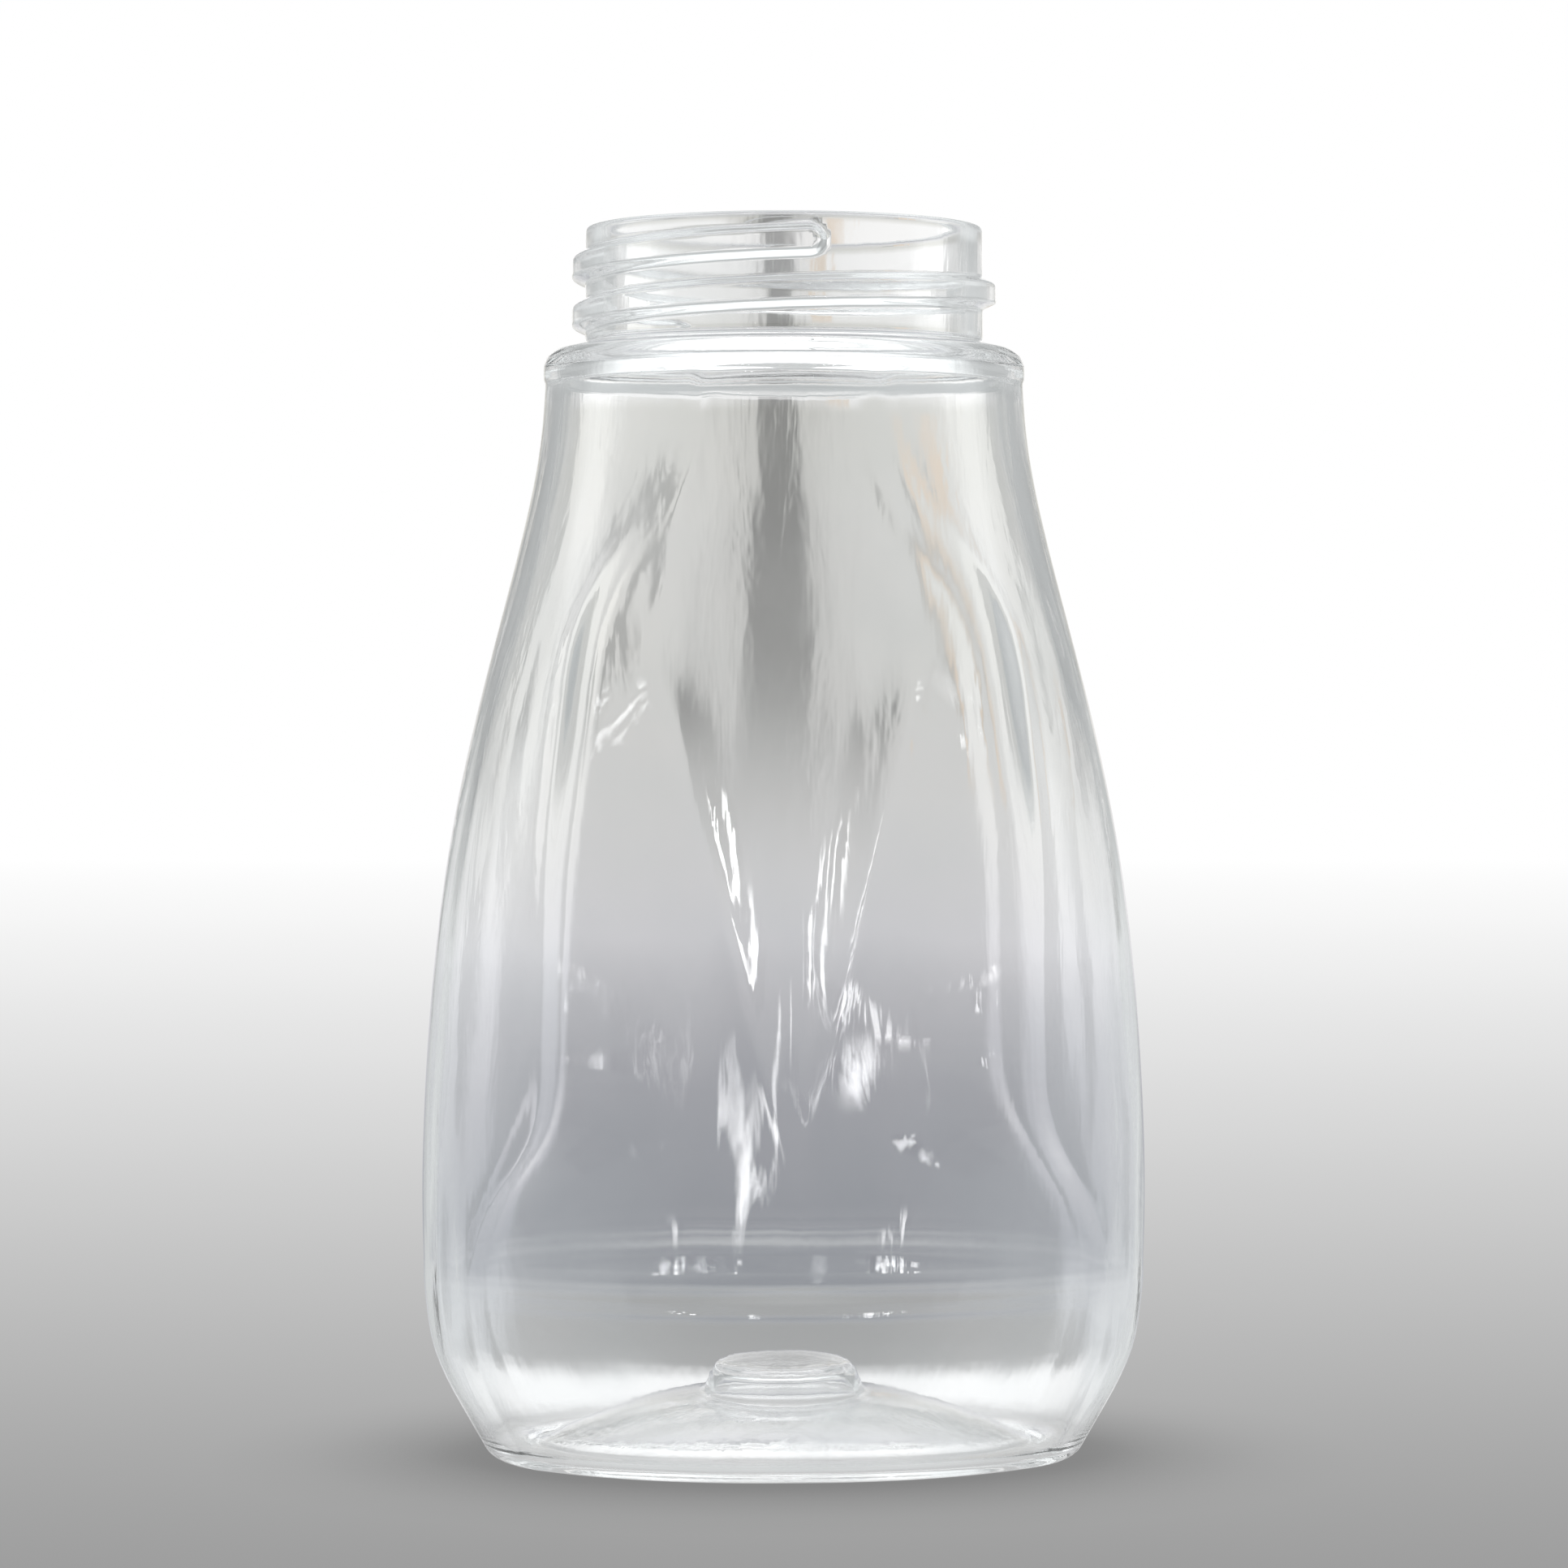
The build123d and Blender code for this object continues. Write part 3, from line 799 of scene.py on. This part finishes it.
def back_card():
    """What shows through the broad face: a light wall above, a greyer bench below it, and a
    darker strip up the middle. All places on it are shares of its width and height."""
    nodes, links, shader, x, y = soft_card(
        "back_card", 0.30, 0.30, (0, 0.35, 0.045), (0, -1, 0), (1, 1, 1), 1.0, 0.12)
    colour = colour_ramp(nodes, links, y, [
        (0.13, (0.58, 0.59, 0.60)), (0.22, (0.45, 0.46, 0.48)), (0.28, (0.29, 0.30, 0.33)),
        (0.355, (0.37, 0.37, 0.40)), (0.45, (0.66, 0.65, 0.67)), (0.55, (0.70, 0.69, 0.68)),
        (0.745, (0.69, 0.68, 0.64)), (0.79, (0.97, 0.96, 0.95)),
    ])
    middle = distance(nodes, links, x, 0.494)
    # the strip is wider and softer lower down, and ends at the shoulder
    narrow = smooth_range(nodes, links, y, 0.56, 0.70, 2.0, 1.0)
    across = math_node(nodes, links, "DIVIDE", middle, narrow)
    deep = smooth_range(nodes, links, y, 0.57, 0.66, 0.34, 0.57)
    core = product(nodes, links, smooth_range(nodes, links, across, 0.022, 0.005), deep)
    core = math_node(nodes, links, "SUBTRACT", 1.0, core)
    skirt = smooth_range(nodes, links, across, 0.008, 0.048, 0.84, 1.0)
    ends = between(nodes, links, y, 0.48, 0.92, (0.18, 0.12))
    mix = nodes.new("ShaderNodeMix")
    mix.data_type = "FLOAT"
    mix.inputs["A"].default_value = 1.0
    links.new(ends, mix.inputs["Factor"])
    links.new(product(nodes, links, core, skirt), mix.inputs["B"])
    # the wall is lighter on both sides, and dark high up beyond that
    flank = smooth_range(nodes, links, middle, 0.15, 0.22, 1.0, 1.32)
    beyond = smooth_range(nodes, links, middle, 0.29, 0.33)
    beyond = product(nodes, links, beyond, smooth_range(nodes, links, y, 0.58, 0.66))
    beyond = smooth_range(nodes, links, beyond, 0.0, 1.0, 1.0, 0.62)
    level = product(nodes, links, mix.outputs["Result"], flank, beyond)
    # painted shade: two darker slanting lines stand off to its sides below the shoulder, and show
    # in the bottle as dark edges along the petal
    for place, lean, half, depth in ((0.378, 0.34, 0.024, 0.42), (0.617, -0.30, 0.014, 0.36)):
        line = math_node(nodes, links, "SUBTRACT", y, 0.655)
        line = math_node(nodes, links, "MULTIPLY_ADD", line, lean, place)
        dark = smooth_range(
            nodes, links, distance(nodes, links, x, line), half, half * 0.3, 0.0, depth)
        dark = product(nodes, links, dark, between(nodes, links, y, 0.590, 0.715, (0.05, 0.025)))
        level = product(nodes, links, level, math_node(nodes, links, "SUBTRACT", 1.0, dark))
    # a warm wooden post stands to the right, wide below the shoulder's height and thin above it
    for place, half, low, high in ((0.640, 0.017, 0.56, 0.74), (0.535, 0.008, 0.75, 0.84)):
        post = smooth_range(nodes, links, distance(nodes, links, x, place), half, half * 0.6)
        post = product(nodes, links, post, between(nodes, links, y, low, high, (0.03, 0.03)))
        tint = nodes.new("ShaderNodeMix")
        tint.data_type = "RGBA"
        links.new(post, tint.inputs["Factor"])
        links.new(colour, tint.inputs[6])
        tint.inputs[7].default_value = (0.78, 0.66, 0.54, 1)
        colour = tint.outputs[2]
    links.new(colour, shader.inputs["Color"])
    links.new(level, shader.inputs["Strength"])


def window(name, width, height, place, bars, strength):
    """A small bright window in front of the bottle, with bars, that glints on the petal's
    flanks. It faces the petal's middle."""
    facing = (-place[0], -0.02 - place[1], 0.045 - place[2])
    nodes, links, shader, x, _ = soft_card(
        name, width, height, place, facing, (1, 1, 1), strength, 0.25)
    slats = nodes.new("ShaderNodeTexNoise")
    slats.noise_dimensions = "1D"
    slats.inputs["Scale"].default_value = bars
    slats.inputs["Detail"].default_value = 1.0
    links.new(math_node(nodes, links, "ADD", x, 3.0), slats.inputs["W"])
    gaps = smooth_range(nodes, links, slats.outputs["Fac"], 0.50, 0.62, 0.0, strength)
    links.new(gaps, shader.inputs["Strength"])


def light_table():
    """The light under the foot. Its front is dimmed with painted shade, for the bottle's own
    shade there, and it is dimmer at its rear, where the panel's ledge would show it."""
    nodes, links, shader, _, y = soft_card(
        "light_table", 0.09, 0.16, (0, 0.050, -0.004), (0, 0, 1), (1, 1, 1), 1.05, 0.2)
    # painted shade of the bottle on the light's front
    shade = smooth_range(nodes, links, y, 0.53, 0.75, 1.0, 0.52)
    rear = smooth_range(nodes, links, y, 0.36, 0.46, 0.40, 1.0)
    links.new(product(nodes, links, shade, rear), shader.inputs["Strength"])


floor()
room()
back_card()
for side, name in ((-1, "left"), (1, "right")):
    soft_card(
        f"softbox_{name}", 0.36, 0.55, (side * 0.55, 0.04, 0.25), (-side, 0, 0),
        (0.96, 0.99, 1.0), 1.15, 0.25)
window("window_left", 0.044, 0.020, (-0.098, -0.32, 0.005), 4, 14.0)
window("far_window_left", 0.044, 0.018, (-0.152, -0.42, 0.003), 4, 16.0)
window("window_right", 0.084, 0.020, (0.112, -0.32, 0.005), 6, 14.0)
window("far_window_right", 0.072, 0.018, (0.190, -0.42, 0.003), 5, 16.0)
# small grey cards keep the windows off the flat panels beside the petal
for name, width, height, place in (
    ("flag_left", 0.026, 0.022, (-0.027, -0.060, 0.0295)),
    ("flag_right", 0.032, 0.021, (0.037, -0.060, 0.0295)),
    ("flag_low", 0.016, 0.0165, (0.0185, -0.060, 0.0262)),
):
    soft_card(name, width, height, place, (0, 1, 0), (0.97, 1.0, 1.0), 0.43, 0.08)
# a soft bright patch low on the petal, a light behind the foot, and a light overhead
soft_card("window_low", 0.012, 0.014, (-0.004, -0.22, 0.010), (0, 1, 0), (1, 1, 1), 10.0, 0.48)
soft_card("low_light", 0.064, 0.009, (0, 0.042, -0.0034), (0, -1, 0), (1, 1, 1), 1.05, 0.30)
soft_card("softbox_top", 1.0, 1.0, (0, -0.1, 0.6), (0, 0, -1), (1, 1, 1), 2.2)
light_table()

# Camera: the photo's eye height, distance and angle of view
camera_data = bpy.data.cameras.new("camera")
camera_data.sensor_width = 36
camera_data.lens = FOCAL_LENGTH / PHOTO_SIDE * camera_data.sensor_width
camera_data.clip_start = 0.01
camera = bpy.data.objects.new("camera", camera_data)
bpy.context.scene.collection.objects.link(camera)
camera.location = (
    CAMERA_DISTANCE * math.sin(VIEW_TURN),
    -CAMERA_DISTANCE * math.cos(VIEW_TURN),
    CAMERA_HEIGHT,
)
look_down = math.atan((PHOTO_SIDE / 2 - HORIZON) / FOCAL_LENGTH)
camera.rotation_euler = (math.radians(90) - look_down, 0, VIEW_TURN)
bpy.context.scene.camera = camera

# the thin wall needs many bounces, or the edges of shoulder and foot turn dark
scene = bpy.context.scene
scene.view_settings.view_transform = "Standard"
scene.cycles.max_bounces = 64
scene.cycles.transmission_bounces = 64
scene.cycles.glossy_bounces = 64
scene.cycles.caustics_refractive = True
scene.cycles.caustics_reflective = True
